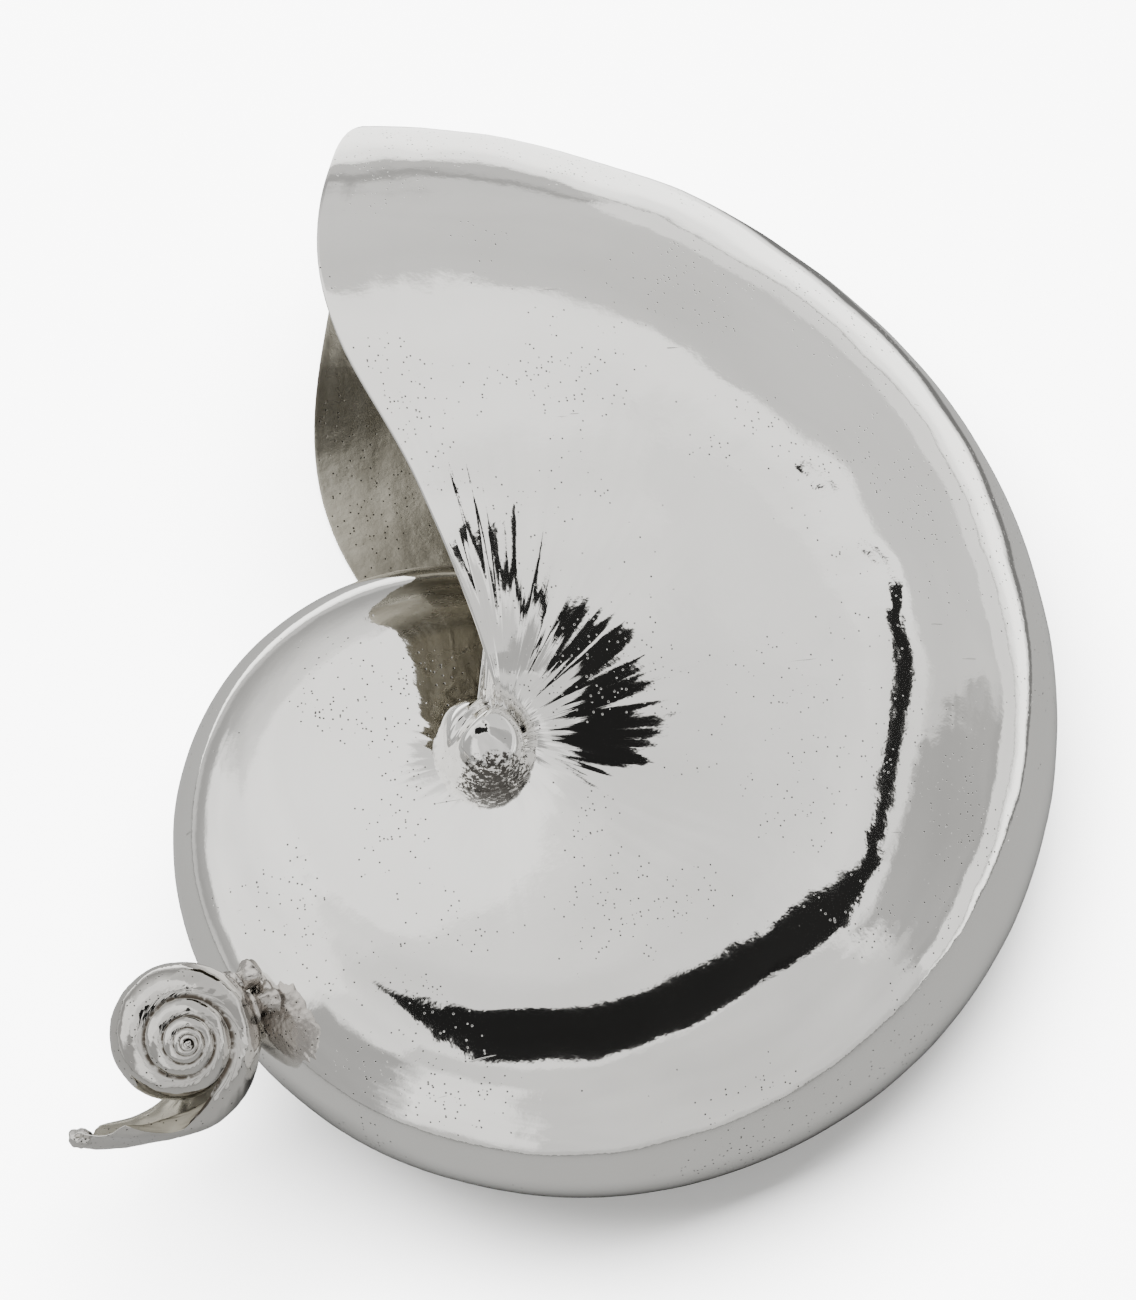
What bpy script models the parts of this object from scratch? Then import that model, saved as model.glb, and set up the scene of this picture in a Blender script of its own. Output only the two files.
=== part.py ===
"""A nautilus shell lying on its flank, with a small snail shell soldered to its edge as a foot.

The nautilus is a logarithmic spiral: one cross-section, turned about the coil axis while it
shrinks at a constant rate.  Its wall, its chamber walls (septa) and the thread of tube that
joins them (the siphuncle) all come from that one rule, so they follow each other's sizes.
"""
import math

import bmesh
import bpy
import numpy as np
from mathutils import Matrix, Vector
from mathutils.bvhtree import BVHTree

# ------------------------------------------------------------------ driving dimensions (metres)
SHELL_RADIUS = 0.1266        # coil axis to the outermost point of the lip
SHELL_HALF_WIDTH = 0.0364    # middle plane to the widest point of the flank, at the lip
SHELL_WALL = 0.0015          # wall thickness at the lip; it thins inwards with the radius
WHORL_GROWTH = 2.97          # radius of a whorl over the radius one turn further in
PART_GAP = 0.0003            # clearance between pieces that touch

SNAIL_RADIUS = 0.0175        # spire axis to the outermost point of the last whorl
SNAIL_WALL = 0.0009          # wall thickness at the snail's mouth
CALLUS_RADIUS = 0.0070       # the knob over the umbilicus
CALLUS_TOP = 0.0292          # middle plane to the top of the knob
CALLUS_FOOT = 0.0110         # middle plane to the buried end of the knob
SEPTUM_WALL = 0.0011         # at the lip's radius; each septum scales down to its own place
SIPHUNCLE_RADIUS = 0.0026    # at the lip's radius
FLAT_DEPTH = 0.0005          # how much is worn off where the pieces stand

# ------------------------------------------------------------------ counts and angles
SEPTUM_COUNT = 20
SEPTUM_PITCH = math.radians(24)
BODY_CHAMBER = math.radians(132)     # from the lip back to the last septum
WALL_PITCH = SEPTUM_PITCH / 2        # the wall has a row of points at every septum
VENTER_STEPS = 4
FLANK_STEPS = 4
LIP_STRETCH = math.radians(120)      # the rows of points take on the lip's curve over this
LIP_BEARING = math.radians(91)       # direction of the lip's outermost point, seen from above
LEAN_X = math.radians(2.9)           # how the coil axis leans when the shell rests on its flank
LEAN_Y = math.radians(6.1)

# ------------------------------------------------------------------ nautilus cross-section
# Shares of the whorl's radius: u is the distance from the coil axis.
WIDEST_U = 0.568             # where the flank is widest
SHOULDER_U = 0.075           # where the flank rounds over into the umbilical wall
SHOULDER_RADIUS = 0.040
FLANK_DROP = 0.0200          # how far the flank has fallen by the shoulder
FLANK_POWER = 2.1
VENTER_SQUARENESS = 2.02     # 2 is an ellipse
LIP_LEAD = (0.0, 5.3, 13.1, 10.2, 7.1)   # degrees the lip leads the venter, venter to umbilicus

# ------------------------------------------------------------------ snail
# Shares of SNAIL_RADIUS, unless an angle or a size in metres.
SNAIL_GROWTH = 1.68          # radius of a whorl over the radius one turn further in
SNAIL_TURNS = 3.6
SNAIL_TUBE = 0.47            # tube radius, tube centre and drop, as shares of SNAIL_RADIUS
SNAIL_CENTRE = 0.53
SNAIL_DROP = 0.90
SNAIL_STEPS = 64
SNAIL_ARC_STEPS = 11
SNAIL_FLARE = math.radians(50)       # the last stretch, where the mouth opens out
SNAIL_TILT = math.radians(34)        # spire axis from the vertical
SNAIL_TILT_HEADING = math.radians(-66)
SNAIL_SPIN = math.radians(-66)       # direction of the mouth's edge about the spire axis
SNAIL_TURN = math.radians(-235)      # where the snail sits on the shell's edge, from the lip
SNAIL_OFFSET = 0.0140                # and how far from the middle plane, towards the near side

# ------------------------------------------------------------------ solder beads (metres)
BEAD_RADIUS = 0.0021
BEAD_GAP = 1.5 * PART_GAP    # a little over the usual clearance, for the facets
BEAD_RISE = 0.0050           # from the nearest points of the two shells, up to the beads
BEAD_SHIFT = 0.0012          # sideways, both beads together
BEAD_SPREAD = 0.0027         # and one bead each way from there

TAU = 2 * math.pi
GROWTH = math.log(WHORL_GROWTH) / TAU
COIL_BACK = BODY_CHAMBER + SEPTUM_COUNT * SEPTUM_PITCH   # lip back to the hatchling's shell


def whorl_radius(turn):
    """Radius of the whorl at an angle behind (negative) the lip."""
    return SHELL_RADIUS * math.exp(GROWTH * turn)


def coil_point(turn, u, v):
    """A point in the shell's own frame; u and v are metres from the coil axis and mid-plane."""
    angle = LIP_BEARING + turn
    return Vector((u * math.cos(angle), u * math.sin(angle), v))


def flank_width(u):
    """Half width of the section at u, on the umbilical side of the widest point."""
    share = (WIDEST_U - u) / (WIDEST_U - SHOULDER_U)
    return SHELL_HALF_WIDTH / SHELL_RADIUS - FLANK_DROP * share ** FLANK_POWER


def half_outline(venter_steps, flank_steps):
    """(tau, u, v) from the venter (tau 0) over the widest point (0.5) to the shoulder (1)."""
    half_width = SHELL_HALF_WIDTH / SHELL_RADIUS
    points = []
    for i in range(venter_steps + 1):
        a = math.pi / 2 * i / venter_steps
        u = WIDEST_U + (1 - WIDEST_U) * max(math.cos(a), 0.0) ** (2 / VENTER_SQUARENESS)
        points.append((0.5 * i / venter_steps, u, half_width * math.sin(a)))
    for i in range(1, flank_steps + 1):
        u = WIDEST_U + (SHOULDER_U - WIDEST_U) * i / flank_steps
        points.append((0.5 + 0.5 * i / flank_steps, u, flank_width(u)))
    return points


def umbilical_wall(fillet_steps):
    """The turned-in end of the section: a fillet, then straight down to the whorl below."""
    top = flank_width(SHOULDER_U)
    points = []
    for i in range(1, fillet_steps + 1):
        a = math.pi / 2 * i / fillet_steps
        points.append((1.0, SHOULDER_U - SHOULDER_RADIUS * math.sin(a),
                       top - SHOULDER_RADIUS * (1 - math.cos(a))))
    foot_u = SHOULDER_U - SHOULDER_RADIUS
    foot_v = flank_width(foot_u * WHORL_GROWTH) / WHORL_GROWTH + 2 * PART_GAP / SHELL_RADIUS
    points.append((1.0, foot_u, foot_v))
    return points


def lip_lead(tau):
    """Angle by which the growing edge leads the venter: a smooth curve through LIP_LEAD."""
    place = tau * (len(LIP_LEAD) - 1)
    i = min(int(place), len(LIP_LEAD) - 2)
    slopes = np.gradient(LIP_LEAD)
    slopes[0] = 0.0
    f = place - i
    value = ((2 * f ** 3 - 3 * f ** 2 + 1) * LIP_LEAD[i] + (f ** 3 - 2 * f ** 2 + f) * slopes[i]
             + (3 * f ** 2 - 2 * f ** 3) * LIP_LEAD[i + 1] + (f ** 3 - f ** 2) * slopes[i + 1])
    return math.radians(value)


# ------------------------------------------------------------------ helpers
def clear_scene():
    for item in list(bpy.data.objects):
        bpy.data.objects.remove(item, do_unlink=True)


def collection(name):
    group = bpy.data.collections.new(name)
    bpy.context.scene.collection.children.link(group)
    return group


def metal(name, color, roughness):
    material = bpy.data.materials.new(name)
    material.use_nodes = True
    shader = material.node_tree.nodes["Principled BSDF"]
    shader.inputs["Base Color"].default_value = (*color, 1.0)
    shader.inputs["Metallic"].default_value = 1.0
    shader.inputs["Roughness"].default_value = roughness
    return material


def place(item, group, parent=None, material=None):
    for old in list(item.users_collection):
        old.objects.unlink(item)
    group.objects.link(item)
    item.parent = parent
    if material:
        item.data.materials.clear()
        item.data.materials.append(material)
    return item


def as_cutter(item, group, parent=None):
    place(item, group, parent)
    item.hide_render = True
    item.display_type = "WIRE"
    return item


def loft(name, rows, closed=False, capped=False):
    """A surface through rows of points; closed joins each row's ends, capped fills both rows."""
    mesh = bpy.data.meshes.new(name)
    shape = bmesh.new()
    grid = [[shape.verts.new(point) for point in row] for row in rows]
    count = len(rows[0])
    for lower, upper in zip(grid, grid[1:]):
        for j in range(count if closed else count - 1):
            k = (j + 1) % count
            shape.faces.new((lower[j], upper[j], upper[k], lower[k]))
    if capped:
        shape.faces.new(grid[0])
        shape.faces.new(reversed(grid[-1]))
    shape.to_mesh(mesh)
    shape.free()
    mesh.shade_smooth()
    return bpy.data.objects.new(name, mesh)


def thicken(item, thickness, offset, shares=None):
    """Solidify; shares gives each vertex its part of the thickness."""
    solid = item.modifiers.new("thickness", "SOLIDIFY")
    solid.thickness = thickness
    solid.offset = offset
    solid.use_even_offset = True
    if shares:
        group = item.vertex_groups.new(name="wall_share")
        for index, share in enumerate(shares):
            group.add([index], share, "REPLACE")
        solid.vertex_group = group.name


def boolean(item, operation, other):
    cut = item.modifiers.new(operation.lower() + "_" + other.name, "BOOLEAN")
    cut.operation = operation
    cut.solver = "EXACT"
    cut.object = other


def evaluated_mesh(item):
    bpy.context.view_layer.update()
    graph = bpy.context.evaluated_depsgraph_get()
    return bpy.data.meshes.new_from_object(item.evaluated_get(graph), depsgraph=graph)


def world_points(item):
    mesh = evaluated_mesh(item)
    points = [item.matrix_world @ vertex.co for vertex in mesh.vertices]
    polygons = [tuple(face.vertices) for face in mesh.polygons]
    bpy.data.meshes.remove(mesh)
    return points, polygons


def tube(name, points, radius, shares):
    """A round tube along a path, with its ends filled, whose radius follows the shares."""
    curve = bpy.data.curves.new(name, "CURVE")
    curve.dimensions = "3D"
    curve.bevel_depth = radius
    curve.bevel_resolution = 2
    curve.use_fill_caps = True
    spline = curve.splines.new("POLY")
    spline.points.add(len(points) - 1)
    for slot, point, share in zip(spline.points, points, shares):
        slot.co = (*point, 1.0)
        slot.radius = share
    return bpy.data.objects.new(name, curve)


def mesh_from_curve(item):
    """The curve as one closed mesh, its loose caps welded."""
    mesh = evaluated_mesh(item)
    shape = bmesh.new()
    shape.from_mesh(mesh)
    bmesh.ops.remove_doubles(shape, verts=shape.verts, dist=1e-6)
    shape.to_mesh(mesh)
    shape.free()
    result = bpy.data.objects.new(item.name, mesh)
    bpy.data.objects.remove(item, do_unlink=True)
    return result


# ------------------------------------------------------------------ nautilus pieces
def make_shell_surface(name):
    """The outer face of the wall, from the hatchling's shell to the lip."""
    half = half_outline(VENTER_STEPS, FLANK_STEPS) + umbilical_wall(2)
    outline = [(tau, u, -v) for tau, u, v in reversed(half[1:])] + half
    steps = round(COIL_BACK / WALL_PITCH)
    rows = []
    shares = []
    for i in range(steps + 1):
        turn = -COIL_BACK * (1 - i / steps)
        curved = max(0.0, 1 + turn / LIP_STRETCH)
        row = []
        for tau, u, v in outline:
            own = turn + lip_lead(tau) * curved
            radius = whorl_radius(own)
            row.append(coil_point(own, radius * u, radius * v))
            shares.append(min(whorl_radius(turn) / SHELL_RADIUS, 1.0))
        rows.append(row)
    return loft(name, rows), shares


def make_callus(name, side, grow=0.0):
    """A domed knob turned about its own axis, standing in the umbilicus on one side."""
    dome_steps = 4
    radius = CALLUS_RADIUS + grow
    rim = CALLUS_TOP - 0.8 * CALLUS_RADIUS
    profile = [(0, 0, CALLUS_TOP + grow)]
    for i in range(1, dome_steps + 1):
        a = math.pi / 2 * (1 - i / dome_steps)
        profile.append((radius * math.cos(a), 0, rim + (CALLUS_TOP + grow - rim) * math.sin(a)))
    profile.append((radius, 0, CALLUS_FOOT - grow))
    profile.append((0, 0, CALLUS_FOOT - grow))
    mesh = bpy.data.meshes.new(name)
    mesh.from_pydata(profile, [(i, i + 1) for i in range(len(profile) - 1)], [])
    item = bpy.data.objects.new(name, mesh)
    turned = item.modifiers.new("turn", "SCREW")
    turned.steps = 14
    turned.render_steps = 14
    turned.use_merge_vertices = True
    turned.merge_threshold = 0.00001
    if side < 0:
        item.rotation_euler = (math.pi, 0, 0)
    return item


def outline_offset(points, distance):
    """An outline of (u, v) moved sideways by a distance, away from the coil axis if positive."""
    shape = np.array([(u, v) for _, u, v in points])
    run = np.gradient(shape, axis=0)
    run[0] = (0, 1)
    normal = np.stack([run[:, 1], -run[:, 0]], axis=1)
    normal /= np.linalg.norm(normal, axis=1, keepdims=True)
    return shape + distance * normal


def spread(points, count):
    """The same outline with its points at even distances."""
    steps = np.linalg.norm(np.diff(points, axis=0), axis=1)
    along = np.concatenate([[0], np.cumsum(steps)])
    even = np.linspace(0, along[-1], count)
    return np.stack([np.interp(even, along, points[:, k]) for k in (0, 1)], axis=1)


def make_septum(name, turn):
    """A dished wall across the whorl, saddled over the whorl inside it."""
    rows_across = 2
    dish = math.radians(15)
    radius = whorl_radius(turn)
    share = radius / SHELL_RADIUS
    gap = PART_GAP / radius
    coarse = half_outline(VENTER_STEPS, FLANK_STEPS)
    outer = outline_offset(coarse, -SHELL_WALL / SHELL_RADIUS - gap)
    below = outline_offset(half_outline(24, 24), gap * WHORL_GROWTH) / WHORL_GROWTH
    inner = spread(below[below[:, 0] > SHOULDER_U], len(outer))
    last = len(outer) - 1
    rows = []
    for i in range(rows_across + 1):
        c = i / rows_across
        row = []
        for j in range(-last, last + 1):
            u, v = outer[abs(j)] * (1 - c) + inner[abs(j)] * c
            back = dish * 4 * c * (1 - c) * (1 - 0.5 * (j / last) ** 2)
            scale = radius * math.exp(-GROWTH * back)
            row.append(coil_point(turn - back, u * scale, math.copysign(v, j) * scale))
        rows.append(row)
    item = loft(name, rows)
    thicken(item, SEPTUM_WALL * share, 1.0)
    return item


def siphuncle_path():
    """Points of the tube that runs through every septum, and the radius share at each."""
    middle = 0.5 * (1 + 1 / WHORL_GROWTH)
    last = -BODY_CHAMBER + math.radians(4)
    count = 46
    turns = [-COIL_BACK + (last + COIL_BACK) * i / (count - 1) for i in range(count)]
    points = [coil_point(turn, whorl_radius(turn) * middle, 0) for turn in turns]
    return points, [whorl_radius(turn) / SHELL_RADIUS for turn in turns]


def make_embryonic_coil(name):
    """The shell as hatched: a solid horn that goes on inwards from where the wall begins."""
    mouth = -COIL_BACK - math.radians(1.5)
    length = math.radians(400)
    steps = 20
    near = [(u, v) for _, u, v in half_outline(VENTER_STEPS, FLANK_STEPS) if u * WHORL_GROWTH > 1.1]
    ring = [(u, -v) for u, v in reversed(near[1:])] + near
    rows = []
    for i in range(steps + 1):
        turn = mouth - length * (1 - i / steps)
        radius = whorl_radius(turn)
        rows.append([coil_point(turn, radius * u, radius * v) for u, v in ring])
    return loft(name, rows, closed=True, capped=True)


# ------------------------------------------------------------------ snail
def suture_angles():
    """Where one whorl's round section meets the whorl before it, on the later whorl."""
    centre = np.array([SNAIL_CENTRE, -SNAIL_DROP])
    before = centre / SNAIL_GROWTH
    reach = np.linalg.norm(before - centre)
    small = SNAIL_TUBE / SNAIL_GROWTH
    along = (SNAIL_TUBE ** 2 - small ** 2 + reach ** 2) / (2 * reach)
    heading = math.atan2(before[1] - centre[1], before[0] - centre[0])
    half = math.acos(along / SNAIL_TUBE)
    return heading - half, heading + half - TAU


def make_snail_surface(name):
    """The outer face of a right-handed snail shell, spire along +Z."""
    outer_end, inner_end = suture_angles()
    clearance = 2 * PART_GAP / (SNAIL_TUBE * SNAIL_RADIUS)
    rows = []
    shares = []
    for i in range(SNAIL_STEPS + 1):
        growth = -TAU * SNAIL_TURNS * (1 - i / SNAIL_STEPS)
        scale = SNAIL_GROWTH ** (growth / TAU)
        flare = min(max(1 + growth / SNAIL_FLARE, 0.0), 1.0) ** 2
        tube_radius = SNAIL_RADIUS * scale * SNAIL_TUBE * (1 + 0.22 * flare)
        centre = SNAIL_RADIUS * scale * (SNAIL_CENTRE + 0.22 * flare)
        row = []
        for j in range(SNAIL_ARC_STEPS + 1):
            a = outer_end - clearance + (inner_end - outer_end + 2 * clearance) * j / SNAIL_ARC_STEPS
            out = centre + tube_radius * math.cos(a)
            height = -SNAIL_RADIUS * scale * SNAIL_DROP + tube_radius * math.sin(a)
            row.append(Vector((out * math.cos(-growth), out * math.sin(-growth), height)))
            shares.append(scale)
        rows.append(row)
    return loft(name, rows), shares


def make_snail_tip(name):
    """The rounded first whorl that closes the spire."""
    growth = -TAU * SNAIL_TURNS
    scale = SNAIL_RADIUS * SNAIL_GROWTH ** (-SNAIL_TURNS)
    shape = bmesh.new()
    bmesh.ops.create_uvsphere(shape, u_segments=8, v_segments=6, radius=scale * SNAIL_TUBE * 1.1)
    mesh = bpy.data.meshes.new(name)
    shape.to_mesh(mesh)
    shape.free()
    item = bpy.data.objects.new(name, mesh)
    out = scale * SNAIL_CENTRE
    item.location = (out * math.cos(-growth), out * math.sin(-growth), -scale * SNAIL_DROP)
    return item


def seat_against(item, wall, start, toward, gap):
    """Slides item along a direction until it is a gap from the wall, corner to face either way."""
    wall_points, wall_polygons = world_points(wall)
    wall_tree = BVHTree.FromPolygons(wall_points, wall_polygons)
    item.location = start
    for _ in range(20):
        points, polygons = world_points(item)
        item_tree = BVHTree.FromPolygons(points, polygons)
        own = min(((wall_tree.find_nearest(p)[3], i) for i, p in enumerate(points)))
        other = min(((item_tree.find_nearest(p)[3], i) for i, p in enumerate(wall_points)))
        move = min(own[0], other[0]) - gap
        if abs(move) < 0.00001:
            break
        item.location += toward * move
    while BVHTree.FromPolygons(*world_points(item)).overlap(wall_tree):
        item.location -= toward * gap      # two edges can cross with no corner near
    points, _ = world_points(item)
    return points[own[1]], wall_tree.find_nearest(points[own[1]])[0], wall_tree


def make_bead(name, centre, normal, side, across, wall_tree, snail_tree):
    """A pad of solder that fills the wedge between the two shells, face to face with both."""
    rings = 3
    spokes = 14
    reach = 4 * BEAD_RADIUS

    def face(tree, direction):
        rows = []
        for i in range(rings + 1):
            row = []
            for j in range(spokes):
                a = TAU * j / spokes
                share = BEAD_RADIUS * i / rings
                start = centre + side * (share * math.cos(a)) + across * (share * math.sin(a) * 0.8)
                hit = tree.ray_cast(start, direction, reach)[0]
                room = (hit - start).length - BEAD_GAP if hit else reach
                row.append(start + direction * min(room, BEAD_RADIUS))
            rows.append(row)
        return rows

    lower = face(wall_tree, -normal)
    upper = face(snail_tree, normal)
    shape = bmesh.new()
    pole_low = shape.verts.new(lower[0][0])
    pole_high = shape.verts.new(upper[0][0])
    grid = [[shape.verts.new(p) for p in row] for row in lower[1:] + list(reversed(upper[1:]))]
    for j in range(spokes):
        k = (j + 1) % spokes
        shape.faces.new((pole_low, grid[0][k], grid[0][j]))
        for a, b in zip(grid, grid[1:]):
            shape.faces.new((a[j], a[k], b[k], b[j]))
        shape.faces.new((pole_high, grid[-1][j], grid[-1][k]))
    bmesh.ops.recalc_face_normals(shape, faces=shape.faces)
    mesh = bpy.data.meshes.new(name)
    shape.to_mesh(mesh)
    shape.free()
    return bpy.data.objects.new(name, mesh)


# ------------------------------------------------------------------ assembly
def build():
    clear_scene()
    parts = collection("silver_nautilus")
    cutters = collection("cutters")
    silver = metal("silver_plate", (0.80, 0.79, 0.76), 0.12)
    snail_silver = metal("snail_silver", (0.72, 0.70, 0.67), 0.20)
    inner_plate = metal("inner_plate", (0.45, 0.43, 0.38), 0.30)
    solder = metal("solder", (0.55, 0.47, 0.42), 0.35)

    root = place(bpy.data.objects.new("standing_place", None), parts)
    pose = place(bpy.data.objects.new("flank_rest", None), parts, root)
    lean = Matrix.Rotation(LEAN_X, 3, "X") @ Matrix.Rotation(LEAN_Y, 3, "Y")
    pose.rotation_euler = lean.to_euler()

    wall, shares = make_shell_surface("shell_wall")
    place(wall, parts, pose, silver)
    thicken(wall, SHELL_WALL, -1.0, shares)
    lowest = min(point.z for point in world_points(wall)[0])
    pose.location.z = -lowest - FLAT_DEPTH

    ground_size = 4 * SHELL_RADIUS
    bpy.ops.mesh.primitive_cube_add(size=ground_size, location=(0, 0, -ground_size / 2))
    ground = as_cutter(bpy.context.object, cutters, root)
    ground.name = "ground"

    knob_rooms = []
    for name, side in (("callus_near", 1), ("callus_far", -1)):
        knob = as_cutter(make_callus(name, side), cutters, pose)
        knob_room = as_cutter(make_callus(name + "_room", side, PART_GAP), cutters, pose)
        knob.location = (-CALLUS_RADIUS / 2, 0, 0)
        knob_room.location = knob.location
        knob_rooms.append(knob_room)
        boolean(wall, "UNION", knob)
    boolean(wall, "DIFFERENCE", ground)

    coil = make_embryonic_coil("embryonic_coil")
    place(coil, parts, pose, inner_plate)

    path, radius_shares = siphuncle_path()
    place(tube("siphuncle", path, SIPHUNCLE_RADIUS, radius_shares), parts, pose, inner_plate)
    loose = [share + PART_GAP / SIPHUNCLE_RADIUS for share in radius_shares]
    bore = place(tube("siphuncle_bore", path, SIPHUNCLE_RADIUS, loose), cutters)
    bore = as_cutter(mesh_from_curve(bore), cutters, pose)
    for i in range(SEPTUM_COUNT):
        turn = -BODY_CHAMBER - i * SEPTUM_PITCH
        septum = make_septum(f"septum_{i + 1:02d}", turn)
        place(septum, parts, pose, inner_plate)
        for cutter in (bore, *knob_rooms):
            boolean(septum, "DIFFERENCE", cutter)

    snail, snail_shares = make_snail_surface("snail_shell")
    place(snail, parts, root, snail_silver)
    spire = (Matrix.Rotation(SNAIL_TILT_HEADING, 3, "Z") @ Matrix.Rotation(SNAIL_TILT, 3, "Y")
             @ Matrix.Rotation(SNAIL_SPIN, 3, "Z"))
    snail.rotation_euler = spire.to_euler()
    thicken(snail, SNAIL_WALL, -1.0, snail_shares)
    tip = as_cutter(make_snail_tip("snail_tip"), cutters, snail)
    boolean(snail, "UNION", tip)
    points, _ = world_points(snail)
    middle = sum(points, Vector()) / len(points)
    outward = (pose.matrix_world.to_3x3() @ coil_point(SNAIL_TURN, 1, 0)).normalized()
    start = pose.matrix_world @ coil_point(SNAIL_TURN, SHELL_RADIUS, SNAIL_OFFSET) - middle
    snail_point, wall_point, wall_tree = seat_against(snail, wall, start, -outward, PART_GAP)

    snail_tree = BVHTree.FromPolygons(*world_points(snail))
    normal = (snail_point - wall_point).normalized()
    upward = (Vector((0, 0, 1)) - normal * normal.z).normalized()
    across = normal.cross(upward)
    for name, way in (("solder_bead_upper", 1), ("solder_bead_lower", -1)):
        sideways = across * (BEAD_SHIFT + way * BEAD_SPREAD)
        centre = (snail_point + wall_point) / 2 + upward * BEAD_RISE + sideways
        bead = make_bead(name, centre, normal, across, upward, wall_tree, snail_tree)
        place(bead, parts, root, solder)

    everything = [p for item in parts.objects if item.type == "MESH" for p in world_points(item)[0]]
    low = [min(p[k] for p in everything) for k in (0, 1)]
    high = [max(p[k] for p in everything) for k in (0, 1)]
    root.location = (-(low[0] + high[0]) / 2, -(low[1] + high[1]) / 2, 0)


build()
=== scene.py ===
# %% [markdown]
# # A silver-plated nautilus, and the snail soldered to its edge
#
# The object is two natural shells under a skin of silver. A big nautilus lies on its flank, and a
# garden snail is soldered to its outer edge. This lesson loads the engineering model first, as a
# fixed frame, so that every piece made afterwards goes exactly where that model says.

# %% The frame
import math

import bmesh
import bpy
from mathutils import Matrix, Vector, noise
from mathutils.bvhtree import BVHTree


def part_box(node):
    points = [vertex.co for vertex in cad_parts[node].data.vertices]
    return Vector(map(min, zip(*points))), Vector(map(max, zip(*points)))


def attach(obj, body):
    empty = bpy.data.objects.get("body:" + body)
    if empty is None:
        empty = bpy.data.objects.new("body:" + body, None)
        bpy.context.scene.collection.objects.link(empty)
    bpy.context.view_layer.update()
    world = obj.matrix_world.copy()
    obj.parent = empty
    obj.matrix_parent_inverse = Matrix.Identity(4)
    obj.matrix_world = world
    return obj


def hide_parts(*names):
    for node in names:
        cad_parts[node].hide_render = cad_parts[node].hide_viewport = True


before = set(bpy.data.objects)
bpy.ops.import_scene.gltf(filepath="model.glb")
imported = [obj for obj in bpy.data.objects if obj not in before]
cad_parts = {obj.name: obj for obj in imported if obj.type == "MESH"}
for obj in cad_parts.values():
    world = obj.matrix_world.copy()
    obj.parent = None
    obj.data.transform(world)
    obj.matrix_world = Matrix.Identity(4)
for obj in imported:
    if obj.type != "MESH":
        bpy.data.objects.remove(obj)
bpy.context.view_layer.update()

TAU = 2 * math.pi
print("the frame holds", len(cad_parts), "nodes")

# %% [markdown]
# ## Sizes
#
# A nautilus grows by one rule: every turn is the same shape, larger by the same factor. A few
# numbers say it all, and they are the same ones that shaped the engineering model, so the fine
# surface made here lands on the coarse one. All lengths are in metres.

# %% Sizes of the nautilus
SHELL_RADIUS = 0.1266
HALF_WIDTH = 0.0364
SHELL_WALL = 0.0015
CLEARANCE = 0.0006
WHORL_GROWTH = 2.97
BODY_CHAMBER = math.radians(132)
SEPTUM_PITCH = math.radians(24)
COIL_BACK = BODY_CHAMBER + 20 * SEPTUM_PITCH
LIP_BEARING = math.radians(91)
FLAT_DEPTH = 0.0005
WIDEST_U = 0.568
SHOULDER_U = 0.075
SHOULDER_RADIUS = 0.040
FLANK_DROP = 0.0200
FLANK_POWER = 2.1
VENTER_SQUARENESS = 2.02
LIP_LEAD = (0.0, 5.3, 13.1, 10.2, 7.1)
LIP_STRETCH = math.radians(120)
CALLUS_RADIUS = 0.0070
CALLUS_TOP = 0.0292
LEAN = Matrix.Rotation(math.radians(2.9), 3, "X") @ Matrix.Rotation(math.radians(6.1), 3, "Y")
GROWTH = math.log(WHORL_GROWTH) / TAU


def whorl_radius(turn):
    """Radius of the whorl at an angle behind (negative) the lip."""
    return SHELL_RADIUS * math.exp(GROWTH * turn)


print("one turn back from the lip the radius is", round(whorl_radius(-TAU) * 1000, 1), "mm")

# %% [markdown]
# The snail follows the same rule with a smaller factor per turn. Its tube is a round section at
# some distance from the axis and below the apex, and those lengths are shares of its radius. The
# three turns at the end lean the axis about a third of a right angle, with the apex to the front.

# %% Sizes of the snail
SNAIL_RADIUS = 0.0175
SNAIL_GROWTH = 1.68
SNAIL_TURNS = 3.6
SNAIL_TUBE = 0.47
SNAIL_CENTRE = 0.53
SNAIL_DROP = 0.90
SNAIL_WALL = 0.0009
SNAIL_FLARE = 0.22
SNAIL_FLARE_STRETCH = math.radians(50)
SNAIL_INNER_TURNS = 5.2
SNAIL_AXIS = (Matrix.Rotation(math.radians(-66), 3, "Z") @ Matrix.Rotation(math.radians(34), 3, "Y")
              @ Matrix.Rotation(math.radians(-66), 3, "Z"))
print("the snail's radius is", SNAIL_RADIUS * 1000, "mm")

# %% [markdown]
# ## Writing node trees as sums
#
# Both the shapes and the finishes below are node trees. Adding each Math node by hand hides the
# idea, so a small class wraps a node's output and gives it Python's operators. `1 - mask * 0.3`
# then adds the two nodes it stands for. Every other kind of node comes from one method.

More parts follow.
